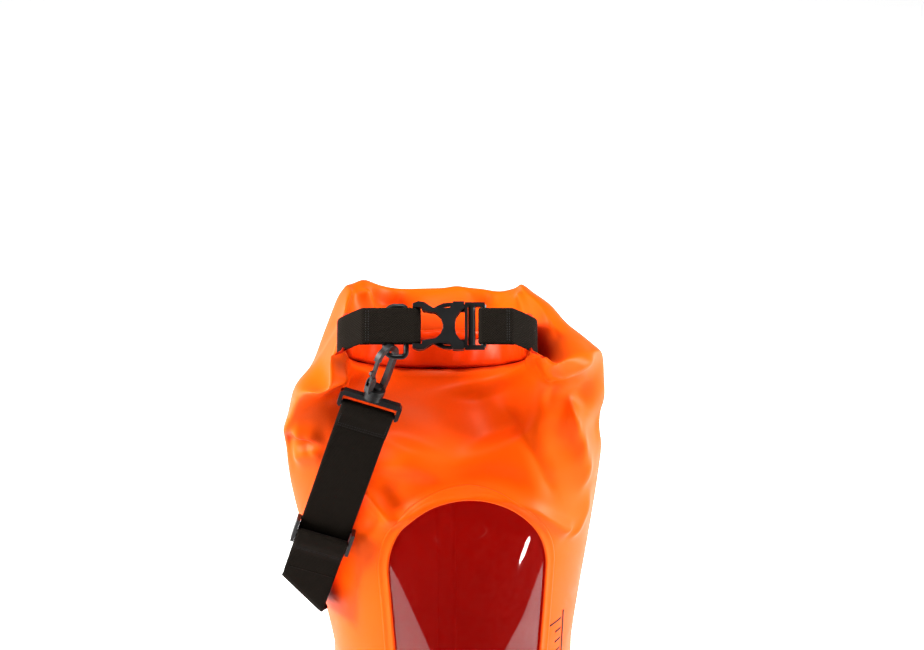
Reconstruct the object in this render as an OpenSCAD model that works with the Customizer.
// Roll-top dry bag: a round tube with a clear window, flattened to a rolled mouth that is
// closed into a ring by a side-release buckle, with a shoulder strap between two snap hooks.
// Origin: centre of the base's underside. Front is -Y, left is -X, up is +Z.

/* [Bag body] */
// Radius of the round body tube
tube_r = 95; // [93:0.5:97]
// Thickness of the coated fabric, with its reinforcement
fabric_t = 1.0; // [0.8:0.1:1.2]
// Height at which the tube starts to flatten towards the mouth
straight_h = 130; // [120:5:140]
// Height of the upturned rim of the base
base_rim_h = 16; // [10:1:22]

/* [Window] */
// Half width of the clear window
window_half_w = 58.5; // [50:0.5:60]
// Height of the window's lower edge
window_z0 = 45; // [35:5:60]
// Height of the window's upper edge
window_z1 = 292; // [270:2:294]
// Weld margin around the window opening
window_margin = 7; // [5:0.5:8]

/* [Closure] */
// Radius of the round back of the closed mouth ring
ring_r = 65; // [63:0.5:66]
// Width of the rolled mouth
roll_w = 30; // [26:1:31]
// Thickness of the rolled mouth
roll_t = 8; // [7:0.5:8.5]
// Width of the mouth and buckle webbing
mouth_web_w = 25; // [24:0.5:25.5]
// Thickness of all webbing
web_t = 1.5; // [1.3:0.1:1.6]

/* [Shoulder strap] */
// Width of the shoulder webbing
strap_w = 38; // [36:0.5:38]
// Distance of the slider below the upper hook's base
slider_drop = 118; // [112:1:119]

/* [Hidden] */
$fn = 48;
orange = [0.95, 0.36, 0.08];
black = [0.1, 0.09, 0.085];
window_tint = [0.8, 0.2, 0.15, 0.5];
wire_r = 1.9;  // of both D rings and the bars that carry webbing

// ---------- vectors ----------
function unit(v) = v / max(norm(v), 1e-9);
function reversed(list) = [for (i = [len(list) - 1:-1:0]) list[i]];
function turn_x(p, deg) = [p.x, p.y * cos(deg) - p.z * sin(deg), p.y * sin(deg) + p.z * cos(deg)];
function turn_y(p, deg) = [p.x * cos(deg) + p.z * sin(deg), p.y, -p.x * sin(deg) + p.z * cos(deg)];
function turn_z(p, deg) = [p.x * cos(deg) - p.y * sin(deg), p.x * sin(deg) + p.y * cos(deg), p.z];

// ---------- frames ----------
// Closure: x along the buckle, y away from the front, z across the band
closure_at = [-10, -72, 430];
closure_tip = -33;
function closure_pt(p) = closure_at + turn_x(p, closure_tip);
module at_closure() {
    translate(closure_at) rotate([closure_tip, 0, 0]) children();
}

// Upper hook: x across the strap, y towards the bag, z up along the strap
hook_at = [-57.9, -80.1, 372.8];
hook_tip = 3.5;
hook_lean = 18.4;
function hook_pt(x, y, z) = hook_at + turn_y(turn_x([x, y, z], hook_tip), hook_lean);
module at_hook() {
    translate(hook_at) rotate([0, hook_lean, 0]) rotate([hook_tip, 0, 0]) children();
}

// Lower ring, on the back: x across the ring, y towards the bag, z from the tab to the bow
lower_ring_y = 102.5;
lower_ring_z = 78;
lower_ring_lean = 42;
module at_lower_ring() {
    translate([0, lower_ring_y, lower_ring_z]) rotate([0, 0, 180])
        rotate([lower_ring_lean, 0, 0]) children();
}

// Lower hook: axes as for the upper hook, placed by a point on its axis near the lower ring
lower_hook_heading = 106.5 + 90;
lower_hook_tilt = 242;
lower_hook_reach = 43;
lower_contact = [-12.7, lower_ring_y + 5.5, lower_ring_z + 6.1];
function lower_dir(p) = turn_z(turn_y(p, lower_hook_tilt), lower_hook_heading);
lower_hook_at = lower_contact - lower_dir([0, 0, lower_hook_reach]);
function lower_pt(x, y, z) = lower_hook_at + lower_dir([x, y, z]);
module at_lower_hook() {
    translate(lower_hook_at) rotate([0, 0, lower_hook_heading])
        rotate([0, lower_hook_tilt, 0]) children();
}

// ---------- the fabric surface ----------
// "run" is the distance along the mouth from the middle of its back: half a circle, then
// two straight legs towards the front
ring_y = 50;       // centre of the round back, in the closure frame
wrap_r = 95;       // turns an angle round the bag into a run
tube_foot_z = 2.2;
back_run = ring_r * PI / 2;
function run_angle(run) = run / ring_r * 180 / PI;
function run_of(angle) = (angle > 180 ? angle - 270 : 90 - angle) * PI / 180 * wrap_r;
function mouth_out(run) = abs(run) <= back_run
    ? [sin(run_angle(run)), cos(run_angle(run))]
    : [sign(run), 0];
function mouth_pt(run) = abs(run) <= back_run
    ? [0, ring_y] + ring_r * mouth_out(run)
    : [sign(run) * ring_r, ring_y - (abs(run) - back_run)];

// Four Bezier control points from the tube's top edge to the mouth, at an angle round the bag
function tube_top(angle) = [tube_r * cos(angle), tube_r * sin(angle), straight_h];
function swell(angle) = [
    (tube_r + 10) * cos(angle) - 3,
    (sin(angle) < 0 ? 99 : 95) * sin(angle),
    straight_h + 95 + (sin(angle) > 0 ? 35 * sin(angle) : 0)];
// The neck blends a front, a back and a side shape; mouth_x is the mouth's x at that angle
function neck_front(mouth_x) = [-5 + mouth_x * 1.25, -78 + 20 * max(0, -mouth_x / ring_r), 352];
function neck_back(mouth_x) = [
    -8 + mouth_x * (mouth_x > 0 ? 1.08 : 1.25), 128, 503 + 46 * pow(mouth_x / ring_r, 4)];
function neck_side(angle) = [
    cos(angle) > 0 ? 152 : -165, 10, cos(angle) > 0 ? 435 + 160 * min(0, sin(angle)) : 380];
function neck(angle) =
    let(side = pow(cos(angle), 8),
        front = sin(angle) < 0 ? 1 - side : 0,
        back = sin(angle) < 0 ? 0 : 1 - side,
        mouth_x = mouth_pt(run_of(angle)).x)
    front * neck_front(mouth_x) + back * neck_back(mouth_x) + side * neck_side(angle);
// The fabric ends below the roll, outside its middle line at the back and inside at the front
mouth_gap = 5.6;
function mouth_edge(angle) =
    let(run = run_of(angle),
        out = sin(angle) >= 0 ? 9 : 9 - 11.6 * min(1, -sin(angle) / 0.14),
        edge = mouth_pt(run) + mouth_out(run) * out)
    closure_pt([edge.x, edge.y, -roll_w / 2 - mouth_gap]);

// Level -1 to 0 is the straight tube, 0 to 1 the flattening part
function bezier(angle, t) =
    pow(1 - t, 3) * tube_top(angle) + 3 * t * pow(1 - t, 2) * swell(angle) +
    3 * t * t * (1 - t) * neck(angle) + pow(t, 3) * mouth_edge(angle);
function wall_pt(angle, level) = level < 0
    ? [tube_r * cos(angle), tube_r * sin(angle), straight_h + level * (straight_h - tube_foot_z)]
    : bezier(angle, level);
function wall_normal(angle, level) = unit(cross(
    wall_pt(angle + 1, level) - wall_pt(angle - 1, level),
    wall_pt(angle, min(level + 0.01, 1)) - wall_pt(angle, level - 0.01)));
function wall_offset(angle, level, out) = wall_pt(angle, level) + wall_normal(angle, level) * out;

// Splits quads into triangles; each corner is [layer, row, column] in two equal point grids
function triangles(quads, rows, cols) = [
    for (quad = quads)
        let(v = [for (corner = quad) (corner[0] * rows + corner[1]) * cols + corner[2] % cols])
        each [[v[0], v[1], v[2]], [v[0], v[2], v[3]]]];

// Closed shell between two offsets of the surface, full turn
shell_sides = 64;
module shell(levels, offset_a, offset_b) {
    rows = len(levels);
    last = rows - 1;
    points = [
        for (out = [offset_a, offset_b]) for (level = levels) for (j = [0:shell_sides - 1])
            wall_offset(360 * j / shell_sides, level, out)];
    walls = [
        for (i = [0:last - 1]) for (j = [0:shell_sides - 1]) each [
            [[0, i, j], [0, i + 1, j], [0, i + 1, j + 1], [0, i, j + 1]],
            [[1, i, j], [1, i, j + 1], [1, i + 1, j + 1], [1, i + 1, j]]]];
    rims = [
        for (j = [0:shell_sides - 1]) each [
            [[0, 0, j], [0, 0, j + 1], [1, 0, j + 1], [1, 0, j]],
            [[0, last, j], [1, last, j], [1, last, j + 1], [0, last, j + 1]]]];
    polyhedron(points, triangles(concat(walls, rims), rows, shell_sides), convexity = 6);
}

// Closed strip between two grids of points, rows along the strip
module strip(top, bottom) {
    rows = len(top);
    cols = len(top[0]);
    last = rows - 1;
    side = cols - 1;
    points = [for (grid = [top, bottom]) for (row = grid) each row];
    faces = [
        for (i = [0:last - 1]) for (j = [0:side - 1]) each [
            [[0, i, j], [0, i, j + 1], [0, i + 1, j + 1], [0, i + 1, j]],
            [[1, i, j], [1, i + 1, j], [1, i + 1, j + 1], [1, i, j + 1]]]];
    sides = [
        for (i = [0:last - 1]) each [
            [[0, i, 0], [0, i + 1, 0], [1, i + 1, 0], [1, i, 0]],
            [[0, i, side], [1, i, side], [1, i + 1, side], [0, i + 1, side]]]];
    ends = [
        for (j = [0:side - 1]) each [
            [[0, 0, j], [1, 0, j], [1, 0, j + 1], [0, 0, j + 1]],
            [[0, last, j], [0, last, j + 1], [1, last, j + 1], [1, last, j]]]];
    polyhedron(points, triangles(concat(faces, sides, ends), rows, cols), convexity = 6);
}

// ---------- ribbons, rods and extrusions ----------
function left_normal(from, to) = let(along = unit(to - from)) [-along.y, along.x];
// Mitred parallel to a polyline
function parallel(path, out) = [
    for (i = [0:len(path) - 1])
        let(before = i > 0 ? left_normal(path[i - 1], path[i]) : left_normal(path[0], path[1]),
            after = i < len(path) - 1 ? left_normal(path[i], path[i + 1]) : before,
            miter = unit(before + after))
        path[i] + miter * out / max(miter * before, 0.4)];
// Flat ribbon outline along a polyline
module ribbon(path, thick) {
    polygon(concat(parallel(path, thick / 2), reversed(parallel(path, -thick / 2))));
}
function arc(center, radius, from, to, steps) = [
    for (i = [0:steps])
        let(deg = from + (to - from) * i / steps) center + radius * [cos(deg), sin(deg)]];
// Extrudes an x-y outline along z
module across(z0, z1) {
    translate([0, 0, z0]) linear_extrude(z1 - z0) children();
}
// Extrudes an x-z outline along y
module through(y0, y1) {
    translate([0, y1, 0]) rotate([90, 0, 0]) linear_extrude(y1 - y0) children();
}
// Webbing along a y-z path, centred on x = 0
module belt(half_w, path, thick) {
    rotate([90, 0, 90]) across(-half_w, half_w) ribbon(path, thick);
}
module rod_x(x0, x1, y, z, radius) {
    translate([x0, y, z]) rotate([0, 90, 0]) cylinder(h = x1 - x0, r = radius);
}
module rod_z(z0, z1, x, radius) {
    translate([x, 0, z0]) cylinder(h = z1 - z0, r = radius);
}
module pin_y(x, z, length, radius) {
    translate([x, 0, z]) rotate([90, 0, 0]) cylinder(h = length, r = radius, center = true);
}
// Quarter bend of wire in the x-z plane
module bend(x, z, radius, from) {
    translate([x, 0, z]) rotate([90, 0, 0]) rotate([0, 0, from])
        rotate_extrude(angle = 90, $fn = 48) translate([radius, 0]) circle(wire_r);
}

// ---------- bag ----------
tube_levels = [-1, -0.75, -0.5, -0.25, 0, 0.08, 0.16, 0.24, 0.32, 0.4, 0.48, 0.56, 0.64];
upper_levels = [0.645, 0.69, 0.74, 0.79, 0.84, 0.88, 0.92, 0.95, 0.975, 1];
seam_levels = [-0.86, -0.6, -0.3, 0, 0.1, 0.2, 0.3, 0.4, 0.5, 0.58, 0.635];
window_turn = 9;
window_gap = 0.2;
window_t = 0.6;
base_t = 1.6;
base_r = tube_r + 1.6;
base_rim_r = tube_r + 0.4;  // inside of the rim

module stadium(radius, z0, z1) {
    translate([0, z1 - radius]) circle(radius);
    translate([0, z0 + radius]) circle(radius);
    translate([-radius, z0 + radius]) square([2 * radius, z1 - z0 - 2 * radius]);
}
module window_prism(grow) {
    rotate([0, 0, window_turn]) through(-140, -30)
        stadium(window_half_w + grow, window_z0 - grow, window_z1 + grow, $fn = 96);
}
module body_tube() {
    color(orange) difference() {
        shell(tube_levels, 0, -fabric_t);
        window_prism(0);
    }
}
module upper_body() {
    color(orange) shell(upper_levels, -fabric_t, 0);
}
module base_panel() {
    color(orange) union() {
        cylinder(h = base_t, r = base_r);
        difference() {
            cylinder(h = base_rim_h, r = base_r);
            translate([0, 0, 1]) cylinder(h = base_rim_h, r = base_rim_r, $fn = 96);
        }
    }
}
// Clear panel inside the tube, wider than its opening
module window_panel() {
    out = -fabric_t - window_gap;
    color(window_tint) intersection() {
        shell([for (level = tube_levels) if (level >= -0.9) level], out, out - window_t);
        window_prism(window_margin);
    }
}
function seam_grid(out) = [
    for (level = seam_levels) [for (j = [0:3]) wall_offset(97.2 - 2.6 * j, level, out)]];
module back_seam_strip() {
    color(orange) strip(seam_grid(1.3), seam_grid(0.45));
}

// ---------- mouth ring ----------
pocket_half_t = 0.9;
stiffener_half_t = 0.6;
mouth_web_r = ring_r + roll_t / 2 + 0.3;
mouth_web_shift = -4;

// Half ring with two straight legs that end at y = front
module ring_band(r_in, r_out, front, z0, z1) {
    translate([0, ring_y, z0]) rotate_extrude(angle = 180, $fn = 96)
        translate([r_in, 0]) square([r_out - r_in, z1 - z0]);
    for (x = [-r_out, r_in])
        translate([x, front, z0]) cube([r_out - r_in, ring_y - front, z1 - z0]);
}
// Roll with a pocket for the stiffener
module mouth_roll() {
    color(orange) at_closure() difference() {
        ring_band(ring_r - roll_t / 2, ring_r + roll_t / 2, 15, -roll_w / 2, roll_w / 2);
        ring_band(ring_r - pocket_half_t, ring_r + pocket_half_t, 18, -11, 11);
    }
}
module mouth_stiffener() {
    color("white") at_closure()
        ring_band(ring_r - stiffener_half_t, ring_r + stiffener_half_t, 19, -10, 10);
}
module mouth_webbing() {
    color(black) at_closure() ring_band(mouth_web_r, mouth_web_r + web_t, 22,
        mouth_web_shift - mouth_web_w / 2, mouth_web_shift + mouth_web_w / 2);
}

// ---------- buckle ----------
loop_r = 3.05;         // middle of the webbing round a buckle bar
bar_left_x = -15;
bar_right_x = 32.6;
bar_half = 15;
pin_x = 16.4;          // prong pins, either side of the buckle's middle
pin_z = 12.6;
male_x = 19.4;         // end of the male half that faces the housing

// Webbing paths: x, y
left_web_path = concat(
    [[-70.1, 21.5], [-70.1, 13.5], [-65.5, 6.5], [-52, -loop_r], [-40, -loop_r], [-28, -loop_r]],
    arc([bar_left_x, 0], loop_r, -90, 90, 10),
    [[-28, loop_r], [-44, loop_r], [-54, 4.6]]);
right_web_path = concat(
    [[70.1, 21.5], [70.1, 13.5], [65.5, 6.5], [52.4, -loop_r], [42, -loop_r]],
    arc([bar_right_x, 0], loop_r, 270, 90, 10),
    [[44, loop_r], [54, 4.6]]);
module buckle_strap(path) {
    color(black) at_closure() across(-mouth_web_w / 2, mouth_web_w / 2) ribbon(path, web_t);
}
module buckle_strap_left() {
    buckle_strap(left_web_path);
}
module buckle_strap_right() {
    buckle_strap(right_web_path);
}

// Upper half of the housing's outline: x, z
housing_half = [
    [4.2, 2], [2.4, 6], [-1, 9], [-7, 10], [-10.4, 10.6], [-10.6, 12.9], [-17, 12.9],
    [-17, 15.6], [-13, 17.2], [-9, 16.6], [-3, 12.6], [2, 12.2], [9, 12.6], [11.5, 17],
    [19, 17], [19, 12.2], [16.6, 10.4], [13.4, 6], [12.6, 2]];
module buckle_female() {
    color(black) at_closure() union() {
        difference() {
            through(-4.2, 4.2)
                polygon(concat(housing_half, [for (p = reversed(housing_half)) [p.x, -p.y]]));
            // prong channels, open at the sides and at the mouth
            for (z = [-20, 5.3]) translate([-6.8, -2.3, z]) cube([30, 4.6, 14.7]);
            // lead-in at the mouth
            translate([15, -2.3, -20]) cube([8, 4.6, 40]);
        }
        // side walls that the prongs catch behind
        for (side = [-1, 1]) translate([12, -2.5, side * 16.1 - 0.8]) cube([6.6, 5, 1.6]);
        rod_z(-bar_half, bar_half, bar_left_x, 1.9);
    }
}
module buckle_male() {
    color(black) at_closure() difference() {
        union() {
            // body bar between the prong roots, just outside the housing's mouth
            translate([male_x, -3.4, -15.6]) cube([2.2, 6.8, 31.2]);
            // side arms
            for (z = [-16.6, 13.6]) translate([male_x, -2.6, z]) cube([14, 5.2, 3]);
            // ladder bar, then strap bar
            rod_z(-bar_half, bar_half, 24.4, 2.6);
            rod_z(-bar_half, bar_half, bar_right_x, 2);
            // prong roots
            for (side = [-1, 1])
                translate([15.2, -2.05, side * pin_z - 2.6]) cube([4.4, 4.1, 5.2]);
        }
        for (side = [-1, 1]) {
            pin_y(pin_x, side * pin_z, 5, 1.66);
            // room for the prong to swing
            for (swing = [8, -26])
                translate([pin_x, -3, side * pin_z]) rotate([0, side * swing, 0])
                    translate([-4, 0, -1.9]) cube([4, 6, 3.8]);
        }
    }
}

// Prong outline from its pin: x, z
prong_outline = [
    [0, -1.1], [0, 1.1], [-3, 2.1], [-4.5, 2.3], [-5.2, 3.6], [-7, 3.9], [-12, 3.4],
    [-16, 1.6], [-19.4, -0.5], [-22.4, -1.7], [-22.6, -3], [-19.8, -3.5], [-18.4, -2.7],
    [-15, -0.7], [-11, 1], [-7, 1.5], [-3.4, 0.5]];
module prong(side) {
    color(black) at_closure() translate([pin_x, 0, side * pin_z])
        mirror([0, 0, side < 0 ? 1 : 0]) {
            pin_y(0, 0, 4, 1.6);
            through(-2, 2) polygon(prong_outline);
        }
}
module buckle_prong_upper() {
    prong(1);
}
module buckle_prong_lower() {
    prong(-1);
}

// ---------- top D ring ----------
top_ring_x = [-36.4, -21.5];
top_ring_z = [-21.6, 14];
bow_bend = 7;       // on the left side
corner_bend = 3.5;  // on the right side
module top_d_ring() {
    bow_x = top_ring_x[0] + bow_bend;
    corner_x = top_ring_x[1] - corner_bend;
    color(black) at_closure() union() {
        rod_z(top_ring_z[0] + corner_bend, top_ring_z[1] - corner_bend, top_ring_x[1], wire_r);
        rod_z(top_ring_z[0] + bow_bend, top_ring_z[1] - bow_bend, top_ring_x[0], wire_r);
        for (z = top_ring_z) rod_x(bow_x, corner_x, 0, z, wire_r);
        bend(corner_x, top_ring_z[1] - corner_bend, corner_bend, 0);
        bend(bow_x, top_ring_z[1] - bow_bend, bow_bend, 90);
        bend(bow_x, top_ring_z[0] + bow_bend, bow_bend, 180);
        bend(corner_x, top_ring_z[0] + corner_bend, corner_bend, 270);
    }
}

// ---------- snap hooks ----------
base_bar_z = -4.4;
eye_z = 39.8;
gate_x = -7.6;
gate_z = 21.6;
top_hook_swivel = 50;
lower_hook_swivel = 64;

// Outlines: x, z
base_outline = [
    [-22.6, -5], [-21.2, -6.6], [21.2, -6.6], [22.6, -5],
    [22.6, 4.6], [20.6, 6.8], [-20.6, 6.8], [-22.6, 4.6]];
hook_back = [
    [5, 10.7], [9.6, 12], [10.8, 20], [10.6, 32],
    [10.5, eye_z + 0.6], [6.9, eye_z + 0.6], [6.4, 22], [5.6, 15]];
hook_heel = [
    [-5, 10.7], [-9.6, 13], [-10.9, 18], [-10.9, 22.6],
    [-9, 24.9], [-6, 24.9], [-4.4, 22], [-5.2, 15]];
gate_outline = [
    [-9.9, 21.4], [-9.6, 25.6], [-12.4, 28.4], [-12, 30.2], [-9.4, 31],
    [-9.5, 38.2], [-6.9, 38.2], [-6.6, 28], [-5.3, 22]];

// Strap frame with a bar, and the headed post the hook turns on
module swivel_base() {
    through(-2.6, 2.6) difference() {
        polygon(base_outline);
        translate([-20, -10.6]) square([40, 13.4]);
    }
    rod_x(-21, 21, 0, base_bar_z, wire_r);
    rod_z(6, 10, 0, 6.6);
    rod_z(9, 16.6, 0, 3);
    rod_z(14.6, 16.6, 0, 4.3);
}
module hook_body() {
    difference() {
        union() {
            translate([0, 0, 10.3]) cylinder(h = 4, r = 7.4);
            through(-2, 2) {
                polygon(hook_back);
                polygon(hook_heel);
                translate([0, eye_z]) intersection() {
                    difference() {
                        circle(10.6);
                        circle(6.8);
                    }
                    translate([-12, -1.2]) square([24, 14]);
                }
            }
        }
        // bore for the post
        translate([0, 0, 9]) cylinder(h = 8, r = 3.06);
        // slot for the gate's root and its pin hole
        translate([-13, -1.15, 18.4]) cube([10.3, 2.3, 8]);
        pin_y(gate_x, gate_z, 10, 1.25);
    }
}
module hook_gate() {
    pin_y(gate_x, gate_z, 3.9, 1.2);
    pin_y(gate_x, gate_z, 2, 2.4);
    through(-1, 1) polygon(gate_outline);
}
module top_hook_body() {
    color(black) at_hook() rotate([0, 0, top_hook_swivel]) hook_body();
}
module top_hook_gate() {
    color(black) at_hook() rotate([0, 0, top_hook_swivel]) hook_gate();
}
module top_hook_base() {
    color(black) at_hook() swivel_base();
}
module lower_hook_body() {
    color(black) at_lower_hook() rotate([0, 0, lower_hook_swivel]) hook_body();
}
module lower_hook_gate() {
    color(black) at_lower_hook() rotate([0, 0, lower_hook_swivel]) hook_gate();
}
module lower_hook_base() {
    color(black) at_lower_hook() swivel_base();
}

// ---------- lower ring ----------
lower_bow_r = 13;
lower_bend = 2.5;
lower_leg = 3;
module lower_d_ring() {
    bend_x = lower_bow_r - lower_bend;
    bow_z = lower_bend + lower_leg;
    color(black) at_lower_ring() union() {
        rod_x(-bend_x, bend_x, 0, 0, wire_r);
        for (flip = [0, 1]) mirror([flip, 0, 0]) {
            bend(bend_x, lower_bend, lower_bend, 270);
            rod_z(lower_bend, bow_z, lower_bow_r, wire_r);
        }
        translate([0, 0, bow_z]) rotate([90, 0, 0])
            rotate_extrude(angle = 180) translate([lower_bow_r, 0]) circle(wire_r);
    }
}
// Tab path: y, z from the ring's height
tab_path = concat(
    [[98.3, -36], [98.3, -14], [99.0, -8]],
    arc([lower_ring_y, 0], 3.0, 188, -8, 12),
    [[103.8, -8], [100.9, -16], [99.95, -22], [99.95, -36]]);
module lower_ring_tab() {
    color(black) translate([0, 0, lower_ring_z]) belt(11, tab_path, web_t);
}
module lower_ring_patch() {
    color(orange) intersection() {
        difference() {
            cylinder(h = 84, r = 97.3, $fn = 96);
            translate([0, 0, -1]) cylinder(h = 90, r = 96.5, $fn = 96);
        }
        through(60, 120) translate([0, 51]) {
            translate([-21, -23]) square([42, 46]);
            for (z = [-23, 23]) translate([-21, z - 3]) square([42, 6]);
        }
    }
}

// ---------- shoulder strap ----------
strap_half = strap_w / 2;
strap_y = 2.15;
slider_z = -slider_drop;
return_t = 1.3;
bar_loop = arc([0, base_bar_z], 2.75, 180, 0, 12);

// Webbing paths in their hook's frame: y, z
upper_path = concat(
    [[-0.15, -24], [-1.6, -14], [-2.75, base_bar_z - 1]],
    bar_loop,
    [[2.75, base_bar_z - 2], [strap_y, -14], [strap_y, -60], [strap_y, -150]]);
return_path = concat(
    [[-1.0, -150], [-1.0, slider_z - 20], [-1.5, slider_z - 16],
     [-4.35, slider_z - 8], [-4.6, slider_z - 1]],
    arc([-2.45, slider_z], 2.15, 180, 20, 10),
    [[-0.55, slider_z - 6], [-1.3, slider_z - 9]]);
lower_loop_path = concat(
    [[-1.6, -13], [-2.0, -10], [-2.75, base_bar_z - 1]],
    bar_loop,
    [[2.75, base_bar_z - 1], [2.0, -10], [1.6, -13]]);

module shoulder_strap_upper() {
    color(black) at_hook() belt(strap_half, upper_path, web_t);
}
module strap_return_layer() {
    color(black) at_hook() belt(strap_half, return_path, return_t);
}
// Two side plates, a middle bar and two bars nearer the bag
module strap_slider() {
    color(black) at_hook() union() {
        for (side = [-1, 1])
            translate([side * 20.9 - 1.3, -3.6, slider_z - 9.5]) cube([2.6, 9.4, 19]);
        rod_x(-20.5, 20.5, -2.45, slider_z, 1.2);
        for (side = [-1, 1]) rod_x(-20.5, 20.5, 4.7, slider_z + side * 7.8, 1.6);
    }
}

// Doubled lower run, from below the slider round the left side to the back.
// Stations: point on the middle line, direction facing away from the bag
upper_out = hook_pt(0, -1, 0) - hook_at;
lower_out = lower_dir([0, -1, 0]);
lower_stations = [
    [hook_pt(0, 0.5, -151), upper_out],
    [hook_pt(0, 0.5, -162), upper_out],
    [hook_pt(-1, 1.5, -172), [-0.5, -0.85, 0.1]],
    [[-119, -44, 199], [-0.95, -0.35, 0]],
    [[-120.5, -18, 196], [-1, -0.1, 0]],
    [[-117.5, 10, 190], [-1, 0.15, 0]],
    [[-109, 36, 178], [-0.92, 0.4, 0]],
    [[-95, 60, 161], [-0.8, 0.6, 0]],
    [[-77, 80, 141], [-0.6, 0.8, 0]],
    [lower_pt(0, 0.4, -22), lower_out],
    [lower_pt(0, 0, -12), lower_out]];
lower_points = [for (station = lower_stations) station[0]];
lower_facings = [for (station = lower_stations) station[1]];
lower_end = len(lower_stations) - 1;
lower_steps = 40;

function catmull_rom(points, i, t) =
    let(before = points[max(i - 1, 0)],
        from = points[i],
        to = points[i + 1],
        after = points[min(i + 2, len(points) - 1)])
    0.5 * ((2 * from) + (to - before) * t + (2 * before - 5 * from + 4 * to - after) * t * t +
        (3 * from - before - 3 * to + after) * t * t * t);
function along(points, u) =
    let(i = min(floor(u), len(points) - 2)) catmull_rom(points, i, u - i);
function lower_tangent(u) = unit(
    along(lower_points, min(u + 0.05, lower_end)) - along(lower_points, max(u - 0.05, 0)));
function lower_grid(out) = [
    for (i = [0:lower_steps])
        let(u = i * lower_end / lower_steps,
            tangent = lower_tangent(u),
            wide = unit(cross(along(lower_facings, u), tangent)),
            normal = cross(tangent, wide))
        [for (j = [-1:1]) along(lower_points, u) + wide * strap_half * j + normal * out]];
module shoulder_strap_lower() {
    color(black) union() {
        strip(lower_grid(2.0), lower_grid(-2.4));
        at_lower_hook() belt(strap_half, lower_loop_path, web_t);
    }
}

body_tube();
upper_body();
base_panel();
window_panel();
back_seam_strip();
mouth_roll();
mouth_stiffener();
mouth_webbing();
buckle_strap_left();
buckle_strap_right();
buckle_female();
buckle_male();
buckle_prong_upper();
buckle_prong_lower();
top_d_ring();
top_hook_body();
top_hook_gate();
top_hook_base();
shoulder_strap_upper();
strap_return_layer();
strap_slider();
shoulder_strap_lower();
lower_hook_body();
lower_hook_gate();
lower_hook_base();
lower_d_ring();
lower_ring_tab();
lower_ring_patch();
